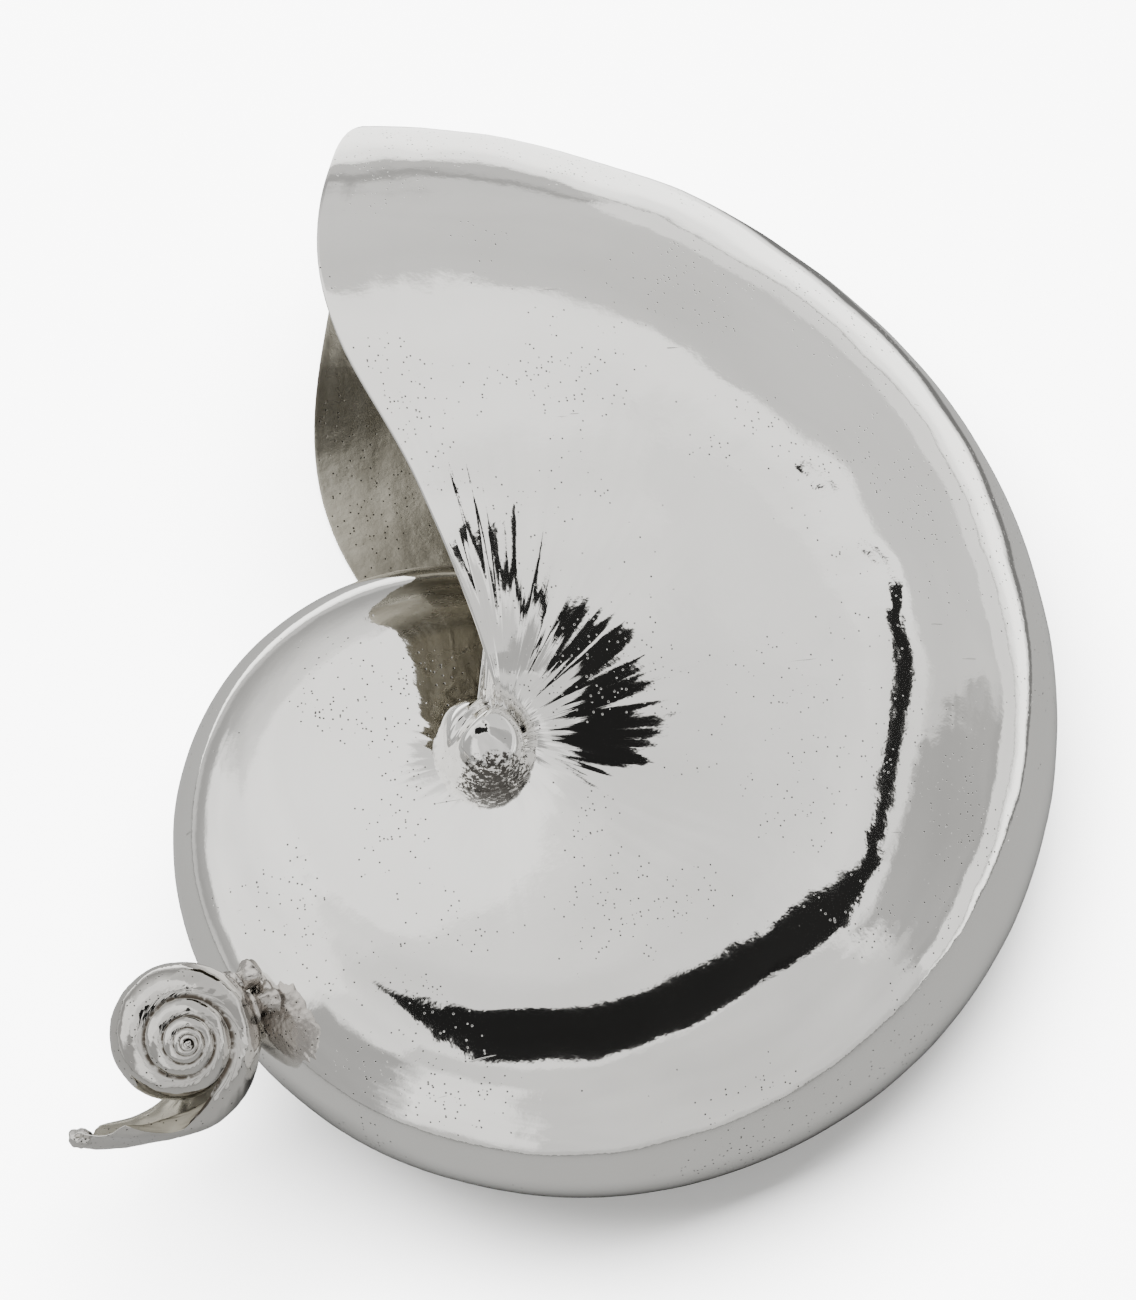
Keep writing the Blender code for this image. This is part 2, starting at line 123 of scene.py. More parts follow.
# %% Sockets that do arithmetic
class Value:
    """One output of a node, with the operators that add Math nodes."""

    def __init__(self, graph, output):
        self.graph = graph
        self.output = output

    def math(self, operation, *values):
        return self.graph.node("ShaderNodeMath", {"operation": operation}, dict(enumerate(values)))

    def __add__(self, other):
        return self.math("ADD", self, other)

    def __radd__(self, other):
        return self.math("ADD", other, self)

    def __sub__(self, other):
        return self.math("SUBTRACT", self, other)

    def __rsub__(self, other):
        return self.math("SUBTRACT", other, self)

    def __mul__(self, other):
        return self.math("MULTIPLY", self, other)

    def __rmul__(self, other):
        return self.math("MULTIPLY", other, self)

    def __truediv__(self, other):
        return self.math("DIVIDE", self, other)

    def __rtruediv__(self, other):
        return self.math("DIVIDE", other, self)

    def __pow__(self, other):
        return self.math("POWER", self, other)

    def call(self, operation, *others):
        return self.math(operation, self, *others)

    def between(self, low, high, at_low=0.0, at_high=1.0):
        """A smooth step from one value to the other as this one goes from low to high."""
        values = {"Value": self, "From Min": low, "From Max": high, "To Min": at_low, "To Max": at_high}
        return self.graph.node("ShaderNodeMapRange", {"interpolation_type": "SMOOTHSTEP"}, values)

    def also(self, name):
        """Another output of the same node."""
        return Value(self.graph, self.output.node.outputs[name])


class Graph:
    """A node tree with one method that adds a node, sets it up and joins it."""

    def __init__(self, tree):
        self.tree = tree

    def node(self, kind, settings=None, values=None, output=0):
        made = self.tree.nodes.new(kind)
        for name, setting in (settings or {}).items():
            setattr(made, name, setting)
        for name, value in (values or {}).items():
            if isinstance(value, Value):
                self.tree.links.new(value.output, made.inputs[name])
            else:
                made.inputs[name].default_value = value
        return Value(self, made.outputs[output] if made.outputs else None)

    def vector(self, x, y, z):
        return self.node("ShaderNodeCombineXYZ", values={0: x, 1: y, 2: z})

    def scaled(self, vector, share):
        values = {0: vector, "Scale": share}
        return self.node("ShaderNodeVectorMath", {"operation": "SCALE"}, values)

    def noise(self, vector, scale, detail=2.0, roughness=0.5):
        values = {"Vector": vector, "Scale": scale, "Detail": detail, "Roughness": roughness}
        return self.node("ShaderNodeTexNoise", values=values)

    def mix(self, share, first, second):
        """A colour between two colours."""
        return self.node("ShaderNodeMix", {"data_type": "RGBA"}, {0: share, 6: first, 7: second}, 2)


print("node helpers are ready")

# %% [markdown]
# ## One tree for both shells
#
# A coiled shell is its own cross-section, carried round an axis while it grows. The tree lays out
# a grid, reads the cross-section at each column from a curve, and turns and scales it row by row.
# The curve's third coordinate is how far the growing edge runs ahead there, so each row has the
# shape of the lip. A nautilus stays in a plane and a snail's section hangs below its apex, but
# the rule is the same, so one tree serves both with different inputs.

# %% The tree of a coiled shell
def tree_input(tree, name, kind):
    tree.interface.new_socket(name=name, in_out="INPUT", socket_type="NodeSocket" + kind)


def coiled_shell_tree():
    tree = bpy.data.node_groups.new("coiled_shell", "GeometryNodeTree")
    tree.is_modifier = True
    for name, kind in (("Section", "Object"), ("Rows", "Int"), ("Columns", "Int"), ("Radius", "Float"),
                       ("Growth", "Float"), ("Coil", "Float"), ("Bearing", "Float"), ("Hand", "Float"),
                       ("Crowding", "Float"), ("Flare", "Float"), ("Flare stretch", "Float"),
                       ("Flare centre", "Vector"), ("Turn over", "Bool"), ("Material", "Material")):
        tree_input(tree, name, kind)
    tree.interface.new_socket(name="Geometry", in_out="OUTPUT", socket_type="NodeSocketGeometry")
    graph = Graph(tree)
    given = graph.node("NodeGroupInput")

    sheet = graph.node("GeometryNodeMeshGrid", values={
        "Size X": 1.0, "Size Y": 1.0, "Vertices X": given.also("Columns"), "Vertices Y": given.also("Rows")})
    spot = graph.node("ShaderNodeSeparateXYZ", values={0: graph.node("GeometryNodeInputPosition")})
    across = spot + 0.5
    back = 0.5 - spot.also("Y")
    turn = -1.0 * given.also("Coil") * back ** given.also("Crowding")

    section = graph.node("GeometryNodeObjectInfo", values={"Object": given.also("Section")},
                         output="Geometry")
    point = graph.node("GeometryNodeSampleCurve", {"mode": "FACTOR"},
                       {"Curves": section, "Factor": across}, "Position")
    part = graph.node("ShaderNodeSeparateXYZ", values={0: point})
    middle = graph.node("ShaderNodeSeparateXYZ", values={0: given.also("Flare centre")})
    opening = (1.0 + turn / given.also("Flare stretch")).call("MAXIMUM", 0.0)
    opening = opening * opening * given.also("Flare")
    out = part + (part - middle) * opening + opening
    up = part.also("Y") + (part.also("Y") - middle.also("Y")) * opening

    own = turn + part.also("Z")
    radius = given.also("Radius") * (own * given.also("Growth")).call("EXPONENT")
    angle = (given.also("Bearing") + own) * given.also("Hand")
    place = graph.vector(radius * out * angle.call("COSINE"), radius * out * angle.call("SINE"), radius * up)

    shape = sheet
    for name, field in (("turn", turn), ("across", across), ("size", radius / given.also("Radius"))):
        shape = graph.node("GeometryNodeStoreNamedAttribute", {"data_type": "FLOAT", "domain": "POINT"},
                           {"Geometry": shape, "Name": name, "Value": field})
    shape = graph.node("GeometryNodeSetPosition", values={"Geometry": shape, "Position": place})
    shape = graph.node("GeometryNodeFlipFaces", values={"Mesh": shape, "Selection": given.also("Turn over")})
    shape = graph.node("GeometryNodeRealizeInstances", values={"Geometry": shape})
    shape = graph.node("GeometryNodeSetShadeSmooth", values={"Geometry": shape})
    shape = graph.node("GeometryNodeSetMaterial",
                       values={"Geometry": shape, "Material": given.also("Material")})
    graph.node("NodeGroupOutput", values={"Geometry": shape})
    return tree


COILED_SHELL = coiled_shell_tree()
print("the coiled shell tree has", len(COILED_SHELL.nodes), "nodes")

# %% [markdown]
# A tree runs as a modifier on an empty mesh. Its inputs are set by their identifiers before
# Blender first evaluates the object, and the result is then copied out as a plain mesh.

# %% Running a tree
def plain_copy(item, name):
    """The evaluated object as a new object with a plain mesh; the old one is removed."""
    bpy.context.view_layer.update()
    graph = bpy.context.evaluated_depsgraph_get()
    mesh = bpy.data.meshes.new_from_object(item.evaluated_get(graph), depsgraph=graph)
    bpy.data.objects.remove(item, do_unlink=True)
    mesh.name = name
    made = bpy.data.objects.new(name, mesh)
    bpy.context.scene.collection.objects.link(made)
    return made


def add_tree(item, tree, values):
    modifier = item.modifiers.new(tree.name, "NODES")
    modifier.node_group = tree
    for socket in tree.interface.items_tree:
        if socket.item_type == "SOCKET" and socket.name in values:
            modifier[socket.identifier] = values[socket.name]


def run_tree(name, tree, values):
    item = bpy.data.objects.new(name + "_seed", bpy.data.meshes.new(name + "_seed"))
    bpy.context.scene.collection.objects.link(item)
    add_tree(item, tree, values)
    return plain_copy(item, name)


def section_curve(name, points):
    """A poly curve through (u, v, lead) points, for a tree to read."""
    curve = bpy.data.curves.new(name, "CURVE")
    curve.dimensions = "3D"
    spline = curve.splines.new("POLY")
    spline.points.add(len(points) - 1)
    for slot, point in zip(spline.points, points):
        slot.co = (*point, 1.0)
    item = bpy.data.objects.new(name, curve)
    bpy.context.scene.collection.objects.link(item)
    return item


print("trees can be run")

# %% [markdown]
# ## The finishes
#
# Silver plate is a mirror, so its colour matters less than its faults: pin-hole pits where the
# plating missed, hairline scratches from polishing, slow waves in the surface and a yellow-brown
# tarnish that gathers where no cloth reaches. Each is one term in the sums below.

# %% Silver plate
def plate(name, color, tarnish, worn, relief, pit_share=0.35, polish=0.035, dirt_and_painted_shade=None, wrinkles=None):
    """A polished or tarnished silver; worn is how much tarnish stays on, from 0 to 1. An extra mask can add
    more of the tarnish colour: real dirt at the snail's sutures, painted dark reflection on the callus.
    """
    material = bpy.data.materials.new(name)
    material.use_nodes = True
    graph = Graph(material.node_tree)
    shader = material.node_tree.nodes["Principled BSDF"]
    shader.inputs["Metallic"].default_value = 1.0
    here = graph.node("ShaderNodeTexCoord", output="Object")

    clusters = graph.noise(here, 55.0, 3.0).between(0.42, 0.68)
    cells = graph.node("ShaderNodeTexVoronoi", values={"Vector": here, "Scale": 1500.0})
    lottery = graph.node("ShaderNodeSeparateXYZ", values={0: cells.also("Color")})
    pits = cells.between(0.16, 0.30, 1.0, 0.0) * (lottery + clusters * pit_share).between(1.02, 1.06)

    stretched = graph.node("ShaderNodeMapping", values={
        "Vector": here, "Rotation": (0.3, 0.2, 0.9), "Scale": (30.0, 900.0, 300.0)})
    hairs = graph.noise(stretched, 1.0, 2.0).between(0.735, 0.76)
    hairs = hairs * graph.noise(here, 70.0).between(0.52, 0.62)

    tarnish_and_painted_shade = graph.noise(here, 26.0, 5.0, 0.6).between(0.35, 0.75) * worn
    # An extra mask adds to the tarnish: real dirt at the snail's sutures, painted dark reflection on the
    # callus.
    if dirt_and_painted_shade:
        tarnish_and_painted_shade = (tarnish_and_painted_shade + dirt_and_painted_shade(graph)).call("MINIMUM", 1.0)
    shade = graph.mix(tarnish_and_painted_shade, (*color, 1.0), (*tarnish, 1.0))
    shade = graph.mix((pits * 0.92 + hairs * 0.45).call("MINIMUM", 1.0), shade, (0.03, 0.028, 0.026, 1.0))
    graph.tree.links.new(shade.output, shader.inputs["Base Color"])
    rough = polish + tarnish_and_painted_shade * 0.30 + pits * 0.05 + hairs * 0.15
    graph.tree.links.new(rough.output, shader.inputs["Roughness"])

    ripples = graph.noise(here, 160.0, 4.0, 0.55) * relief + graph.noise(here, 520.0, 2.0) * (relief * 0.10)
    height = ripples - pits * 0.25 - hairs * 0.10
    if wrinkles:
        height = height + wrinkles(graph)
    bump = graph.node("ShaderNodeBump", values={"Strength": 1.0, "Distance": 0.0002, "Height": height})
    graph.tree.links.new(bump.output, shader.inputs["Normal"])
    return material


def hub_wrinkles(graph):
    """Fine wrinkles that fan out from the umbilicus and fade on the flank."""
    turn = graph.node("ShaderNodeAttribute", {"attribute_name": "turn"}, output="Fac")
    across = graph.node("ShaderNodeAttribute", {"attribute_name": "across"}, output="Fac")
    inward = (across - 0.5).call("ABSOLUTE") * 2.0
    rows = graph.vector(turn * 24.0, inward * 3.0, 0.0)
    return (graph.noise(rows, 1.0, 4.0, 0.6) - 0.5) * inward.between(0.70, 0.98, 0.02, 0.26)


def sutures(graph):
    """Dirt that stays where each whorl of the snail meets the one before."""
    across = graph.node("ShaderNodeAttribute", {"attribute_name": "across"}, output="Fac")
    edge = (across - 0.5).call("ABSOLUTE").between(0.455, 0.495)
    place = graph.node("ShaderNodeTexCoord", output="Object")
    return edge * graph.noise(place, 700.0, 3.0).between(0.30, 0.55)


BRIGHT = (0.86, 0.85, 0.83)
silver = plate("silver_plate", BRIGHT, (0.52, 0.48, 0.40), 0.10, 0.22, wrinkles=hub_wrinkles)
inside = plate("tarnished_inside", (0.42, 0.40, 0.34), (0.20, 0.18, 0.14), 0.8, 0.8, polish=0.22)
# The snail's plate is a darker copy of the same silver: painted shade for the darker reflections it shows.
snail_silver = plate("snail_silver", (0.62, 0.605, 0.58), (0.09, 0.075, 0.06), 0.05, 0.6, 0.45, 0.04,
                     sutures)
solder = plate("solder", (0.80, 0.785, 0.76), (0.17, 0.13, 0.10), 0.62, 1.6, 0.9, 0.10)
print("materials:", len(bpy.data.materials))

# %% [markdown]
# ## The nautilus
#
# The cross-section is an ellipse over the outer edge, a gently bulging flank, and a small fillet
# that turns in to the umbilicus. Its third number is the lead of the lip, a smooth curve through
# five values.

# %% Section of the nautilus
def lip_lead(tau):
    """Angle by which the growing edge leads, from the outer edge (0) to the umbilicus (1)."""
    last = len(LIP_LEAD) - 1
    i = min(int(tau * last), last - 1)
    f = tau * last - i

    def slope(k):
        if k == 0:
            return 0.0
        return LIP_LEAD[last] - LIP_LEAD[last - 1] if k == last else (LIP_LEAD[k + 1] - LIP_LEAD[k - 1]) / 2

    return math.radians((2 * f ** 3 - 3 * f ** 2 + 1) * LIP_LEAD[i] + (f ** 3 - 2 * f ** 2 + f) * slope(i)
                        + (3 * f ** 2 - 2 * f ** 3) * LIP_LEAD[i + 1] + (f ** 3 - f ** 2) * slope(i + 1))


def flank_width(u):
    share = (WIDEST_U - u) / (WIDEST_U - SHOULDER_U)
    return HALF_WIDTH / SHELL_RADIUS - FLANK_DROP * share ** FLANK_POWER


def half_section(venter_steps, flank_steps, fillet_steps):
    """(u, v, tau) from the outer edge to the foot of the umbilical wall."""
    points = []
    for i in range(venter_steps + 1):
        a = math.pi / 2 * i / venter_steps
        u = WIDEST_U + (1 - WIDEST_U) * max(math.cos(a), 0.0) ** (2 / VENTER_SQUARENESS)
        points.append((u, HALF_WIDTH / SHELL_RADIUS * math.sin(a), 0.5 * i / venter_steps))
    for i in range(1, flank_steps + 1):
        u = WIDEST_U + (SHOULDER_U - WIDEST_U) * i / flank_steps
        points.append((u, flank_width(u), 0.5 + 0.5 * i / flank_steps))
    for i in range(1, fillet_steps + 1):
        a = math.pi / 2 * i / fillet_steps
        points.append((SHOULDER_U - SHOULDER_RADIUS * math.sin(a),
                       flank_width(SHOULDER_U) - SHOULDER_RADIUS * (1 - math.cos(a)), 1.0))
    foot = SHOULDER_U - SHOULDER_RADIUS
    points.append((foot, flank_width(foot * WHORL_GROWTH) / WHORL_GROWTH, 1.0))
    return points


half = half_section(40, 40, 10)
whole = [(u, -v, tau) for u, v, tau in reversed(half[1:])] + half
nautilus_section = section_curve("nautilus_section", [(u, v, lip_lead(tau)) for u, v, tau in whole])
print("the section has", len(whole), "points")

# %% [markdown]
# The engineering model's wall is the same rule with few points. Working those few points out
# again gives the exact place where that wall lies, and so where this one goes.

# %% Where the nautilus lies
def coarse_wall():
    """The corner points of the engineering model's wall, in the shell's own frame."""
    corners = half_section(4, 4, 2)
    corners[-1] = (corners[-1][0], corners[-1][1] + CLEARANCE / SHELL_RADIUS, 1.0)
    outline = [(u, -v, tau) for u, v, tau in reversed(corners[1:])] + corners
    steps = round(COIL_BACK / (SEPTUM_PITCH / 2))
    points = []
    for i in range(steps + 1):
        turn = -COIL_BACK * (1 - i / steps)
        for u, v, tau in outline:
            own = turn + lip_lead(tau) * max(0.0, 1 + turn / LIP_STRETCH)
            radius = whorl_radius(own)
            angle = LIP_BEARING + own
            points.append(Vector((radius * u * math.cos(angle), radius * u * math.sin(angle), radius * v)))
    return points


laid = [LEAN @ point for point in coarse_wall()]
wall_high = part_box("shell_wall")[1]
coil_centre = Vector((wall_high.x - max(p.x for p in laid), wall_high.y - max(p.y for p in laid),
                      -FLAT_DEPTH - min(p.z for p in laid)))
SHELL_POSE = Matrix.Translation(coil_centre) @ LEAN.to_4x4()
print("the coil's centre is at", tuple(round(c, 4) for c in coil_centre))

# %% [markdown]
# A grown shell is never as clean as its rule. Fine growth lines follow the lip, soft folds fan
# out from the umbilicus, and the flanks have slow dents. A second tree moves the surface along
# its normals by less than about a millimetre, which is all a mirror needs to look alive.

# %% The tree of growth relief
def growth_relief_tree():
    tree = bpy.data.node_groups.new("growth_relief", "GeometryNodeTree")
    tree.is_modifier = True
    tree_input(tree, "Geometry", "Geometry")
    for name in ("Dents", "Dent size", "Folds", "Fold count", "Lines", "Line count"):
        tree_input(tree, name, "Float")
    tree.interface.new_socket(name="Geometry", in_out="OUTPUT", socket_type="NodeSocketGeometry")
    graph = Graph(tree)
    given = graph.node("NodeGroupInput")

    def stored(name):
        return graph.node("GeometryNodeInputNamedAttribute", {"data_type": "FLOAT"}, {"Name": name})

    turn = stored("turn")
    inward = (stored("across") - 0.5).call("ABSOLUTE") * 2.0
    here = graph.node("GeometryNodeInputPosition")
    slow = graph.noise(here, 1.0 / given.also("Dent size"), 2.0) - 0.5
    rows = graph.vector(turn * given.also("Fold count"), inward * 1.6, 0.0)
    folds = graph.noise(rows, 1.0, 2.0, 0.6) - 0.5
    near_hub = inward.between(0.50, 0.95, 0.14, 1.0)
    fine = graph.vector(turn * given.also("Line count"), inward * 2.5, 3.0)
    lines = graph.noise(fine, 1.0, 2.0, 0.7) - 0.5
    rise = (slow * given.also("Dents") + folds * near_hub * given.also("Folds")
            + lines * given.also("Lines")) * stored("size")
    normal = graph.node("GeometryNodeInputNormal")
    shape = graph.node("GeometryNodeSetPosition", values={
        "Geometry": given.also("Geometry"), "Offset": graph.scaled(normal, rise)})
    shape = graph.node("GeometryNodeRealizeInstances", values={"Geometry": shape})
    shape = graph.node("GeometryNodeSetMaterial", values={"Geometry": shape, "Material": silver})
    graph.node("NodeGroupOutput", values={"Geometry": shape})
    return tree


GROWTH_RELIEF = growth_relief_tree()
print("the relief tree has", len(GROWTH_RELIEF.nodes), "nodes")

# %% [markdown]
# The surface is open, so it then gets its wall: thickest just behind the lip, thinner inwards
# and at the rim itself. The inner face has its own tarnished finish, and the rim is rounded.

# %% The wall of the nautilus
def only_material(item, material):
    """Leaves one slot, so that the inner face of a wall is the second one."""
    item.data.materials.clear()
    item.data.materials.append(material)
    item.data.polygons.foreach_set("material_index", [0] * len(item.data.polygons))


def give_wall(item, thickness, inner_material, thin_edge):
    """Solidifies an open shell inwards, by each point's own size, and rounds its rim."""
    group = item.vertex_groups.new(name="wall_share")
    sizes = item.data.attributes["size"].data
    turns = item.data.attributes["turn"].data
    for i in range(len(item.data.vertices)):
        edge = min(1.0, thin_edge + (1 - thin_edge) * -turns[i].value / math.radians(6))
        group.add([i], min(1.0, sizes[i].value) * edge, "REPLACE")
    item.data.materials.append(inner_material)
    solid = item.modifiers.new("wall", "SOLIDIFY")
    solid.thickness = thickness
    solid.offset = -1.0
    solid.vertex_group = group.name
    solid.material_offset = 1
    solid.material_offset_rim = 0
    rounding = item.modifiers.new("rim", "BEVEL")
    rounding.width = thickness * 0.22
    rounding.segments = 2
    rounding.limit_method = "ANGLE"
    rounding.angle_limit = math.radians(62)
    rounding.use_clamp_overlap = True
    return plain_copy(item, item.name.replace("_surface", ""))


surface = run_tree("nautilus_wall_surface", COILED_SHELL, {
    "Section": nautilus_section, "Rows": 400, "Columns": 112, "Radius": SHELL_RADIUS, "Growth": GROWTH,
    "Coil": COIL_BACK, "Bearing": LIP_BEARING, "Hand": 1.0, "Crowding": 1.25, "Flare": 0.0,
    "Flare stretch": 1.0, "Flare centre": (0.0, 0.0, 0.0), "Turn over": True, "Material": silver})
add_tree(surface, GROWTH_RELIEF, {
    "Dents": 0.0024, "Dent size": 0.042, "Folds": 0.0006, "Fold count": 6.0, "Lines": 0.00016,
    "Line count": 70.0})
surface = plain_copy(surface, "nautilus_wall_surface")
only_material(surface, silver)
nautilus = give_wall(surface, SHELL_WALL, inside, 0.55)
nautilus.data.transform(SHELL_POSE)
for vertex in nautilus.data.vertices:
    vertex.co.z = max(vertex.co.z, 0.0)
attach(nautilus, "root")
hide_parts("shell_wall")
print("the wall has", len(nautilus.data.polygons), "faces")

# %% [markdown]
# ## The callus
#
# The lip runs in to a rounded knob that closes the umbilicus. The knob and the wall are one
# growth, so their meeting is a soft one. A height field does this: at each point round the
# knob's axis it takes the higher of a dome and the wall below, blended where they are close.

# %% A knob that melts into the flank
def soft_max(a, b, reach):
    """The larger of two heights, rounded over where they differ by less than reach."""
    h = max(reach - abs(a - b), 0.0) / reach
    return max(a, b) + h * h * reach / 4


def surface_tree(item):
    """An object's faces, ready to be asked for the nearest or the first one hit."""
    return BVHTree.FromPolygons([vertex.co.copy() for vertex in item.data.vertices],
                                [tuple(face.vertices) for face in item.data.polygons])


def cover_rings(shape, crown, rings):
    """Adds the faces from one point out over rings of points."""
    count = len(rings[0])
    for j in range(count):
        k = (j + 1) % count
        shape.faces.new((crown, rings[0][j], rings[0][k]))
        for a, b in zip(rings, rings[1:]):
            shape.faces.new((a[j], b[j], b[k], a[k]))


def smooth_object(shape, name, material):
    """Turns a shape being built into a smooth object of one material."""
    mesh = bpy.data.meshes.new(name)
    shape.to_mesh(mesh)
    shape.free()
    mesh.shade_smooth()
    mesh.materials.append(material)
    item = bpy.data.objects.new(name, mesh)
    bpy.context.scene.collection.objects.link(item)
    return item


wall_tree = surface_tree(nautilus)


def callus_tarnish_and_painted_reflection(graph):
    """Stippled tarnish and painted dark reflection on the lower side of the knob."""
    here = graph.node("ShaderNodeTexCoord", output="Object")
    middle = SHELL_POSE @ Vector((-CALLUS_RADIUS / 2, 0, CALLUS_TOP * 0.9))
    place = graph.node("ShaderNodeSeparateXYZ", values={0: here})
    # Painted dark reflection on the side towards -y, broken up by a stipple of tarnish.
    lower = (middle.y - place.also("Y")).between(0.0025, 0.0085)
    stipple = graph.noise(here, 1300.0, 4.0, 0.75).between(0.40, 0.56)
    return (lower * 1.5 + stipple * 0.9 - 1.1).between(0.10, 0.35)


def make_callus(name, side):
    spokes = 128
    rings = 56
    reach = 0.0125
    to_shell = SHELL_POSE.inverted()
    foot_height = 0.012
    foot_radius = 0.006
    rise = (SHELL_POSE.to_3x3() @ Vector((0, 0, side))).normalized()
    shape = bmesh.new()
    rows = []
    for i in range(1, rings + 1):
        row = []
        for j in range(spokes):
            a = TAU * j / spokes
            rho = reach * (i / rings)
            x = -CALLUS_RADIUS / 2 + rho * math.cos(a)
            y = rho * math.sin(a)
            start = SHELL_POSE @ Vector((x, y, side * 0.06))
            hit = wall_tree.ray_cast(start, -rise, 0.05)[0]
            below = abs((to_shell @ hit).z) if hit else foot_height
            lump = noise.noise(Vector((x, y, 0.02 * side)) * 130) * 0.0014
            fold = (rho * math.cos(a - 2.3) - 0.0026) / 0.0011
            groove = math.exp(-fold * fold) * 0.0016
            share = rho / CALLUS_RADIUS * (1 + 0.10 * math.cos(2 * a - 1.2))
            dome = CALLUS_TOP - CALLUS_RADIUS * (1 - math.sqrt(max(1 - share ** 2, 0.0))) + lump - groove
            if share > 1:
                dome -= 0.05 * (share - 1)
            height = soft_max(dome, below - 0.0005, 0.0006) - 0.0001 * (i / rings)
            row.append(shape.verts.new((x, y, side * height)))
        rows.append(row)
    crown = shape.verts.new((-CALLUS_RADIUS / 2, 0, side * (CALLUS_TOP - 0.0004)))
    foot = []
    for j in range(spokes):
        a = TAU * j / spokes
        x = -CALLUS_RADIUS / 2 + foot_radius * math.cos(a)
        foot.append(shape.verts.new((x, foot_radius * math.sin(a), side * foot_height)))
    root = shape.verts.new((-CALLUS_RADIUS / 2, 0, side * foot_height))
    cover_rings(shape, crown, rows + [foot])
    for j in range(spokes):
        shape.faces.new((root, foot[(j + 1) % spokes], foot[j]))
    bmesh.ops.recalc_face_normals(shape, faces=shape.faces)
    item = smooth_object(shape, name, callus_silver)
    item.data.transform(SHELL_POSE)
    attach(item, "root")
    return item


# Its dark tarnish colour stands mostly for painted dark reflection on the lower side of the knob.
callus_silver = plate("callus_silver", BRIGHT, (0.07, 0.065, 0.06), 0.04, 0.2,
                      polish=0.04, dirt_and_painted_shade=callus_tarnish_and_painted_reflection)
callus_near = make_callus("callus_near", 1)
make_callus("callus_far", -1)
print("each callus has", len(callus_near.data.polygons), "faces")

# %% [markdown]
# ## The snail
#
# The snail is the same tree again, with the other hand, a round section that hangs below its
# apex, and a mouth that flares. The lip runs ahead in a tongue. Near the suture and on the
# underside the wall has broken back, so the lead there is negative, with a ragged edge at the
# suture.

# %% Section of the snail
def suture_angles():
    """Where one whorl's round section meets the whorl before it, on the later whorl."""
    before = Vector((SNAIL_CENTRE, -SNAIL_DROP)) / SNAIL_GROWTH
    step = before - Vector((SNAIL_CENTRE, -SNAIL_DROP))
    reach = step.length
    small = SNAIL_TUBE / SNAIL_GROWTH
    along = (SNAIL_TUBE ** 2 - small ** 2 + reach ** 2) / (2 * reach)
    heading = math.atan2(step.y, step.x)
    spread = math.acos(along / SNAIL_TUBE)
    return heading - spread, heading + spread - TAU


def share_of(value, start, reach):
    """How far a value is along a reach from its start, kept between 0 and 1."""
    return min(max((value - start) / reach, 0.0), 1.0)


def smooth(share):
    """The same share with a soft start and a soft end."""
    return share * share * (3 - 2 * share)


def snail_lead(a):
    """How far the snail's lip runs ahead at an angle round its section."""
    cut = share_of(a, math.radians(67), math.radians(13))
    under = share_of(-a, math.radians(52), math.radians(60))
    ragged = noise.noise(Vector((a * 6.0, 0.3, 0.0))) * 0.10
    ragged += noise.noise(Vector((a * 19.0, 1.7, 0.0))) * 0.05
    tongue = math.exp(-((a - math.radians(22)) / math.radians(24)) ** 2) * 0.20
    back = math.radians(40) * smooth(cut) + math.radians(42) * smooth(under)
    return tongue - back + ragged * min(cut * 3, 1.0)


outer_end, inner_end = suture_angles()
lap = 0.02
points = []
for i in range(161):
    a = outer_end + lap + (inner_end - outer_end - 2 * lap) * i / 160
    out = SNAIL_CENTRE + SNAIL_TUBE * math.cos(a)
    up = -SNAIL_DROP + SNAIL_TUBE * math.sin(a)
    points.append((out, up, snail_lead(a)))
snail_section = section_curve("snail_section", points)
print("the snail's section opens from", round(math.degrees(outer_end)), "to", round(math.degrees(inner_end)))

# %% [markdown]
# The snail is placed in the same way: its few coarse points are worked out round its own apex,
# and their box is laid over the box of the engineering model's snail.

# %% Where the snail sits
def coarse_snail():
    """Points of the engineering model's snail, round its own apex."""
    clearance = CLEARANCE / (SNAIL_TUBE * SNAIL_RADIUS)
    made = []
    for i in range(65):
        growth = -TAU * SNAIL_TURNS * (1 - i / 64)
        scale = SNAIL_GROWTH ** (growth / TAU)
        flare = SNAIL_FLARE * share_of(growth, -SNAIL_FLARE_STRETCH, SNAIL_FLARE_STRETCH) ** 2
        for j in range(12):
            a = outer_end - clearance + (inner_end - outer_end + 2 * clearance) * j / 11
            out = SNAIL_RADIUS * scale * (SNAIL_CENTRE + flare + SNAIL_TUBE * (1 + flare) * math.cos(a))
            up = SNAIL_RADIUS * scale * (-SNAIL_DROP + SNAIL_TUBE * (1 + flare) * math.sin(a))
            made.append(SNAIL_AXIS @ Vector((out * math.cos(-growth), out * math.sin(-growth), up)))
    return made


coarse = coarse_snail()
snail_low, snail_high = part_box("snail_shell")
snail_place = Vector()
for k in range(3):
    along = [point[k] for point in coarse]
    snail_place[k] = (snail_low[k] + snail_high[k] - min(along) - max(along)) / 2
SNAIL_POSE = Matrix.Translation(snail_place) @ SNAIL_AXIS.to_4x4()
print("the apex of the snail is at", tuple(round(c, 4) for c in snail_place))

# %% [markdown]
# The wall runs further in than the engineering model's, so that the spire closes. A small lump
# caps the apex, and a larger one sits at the tip of the lip, as plating builds up on points.

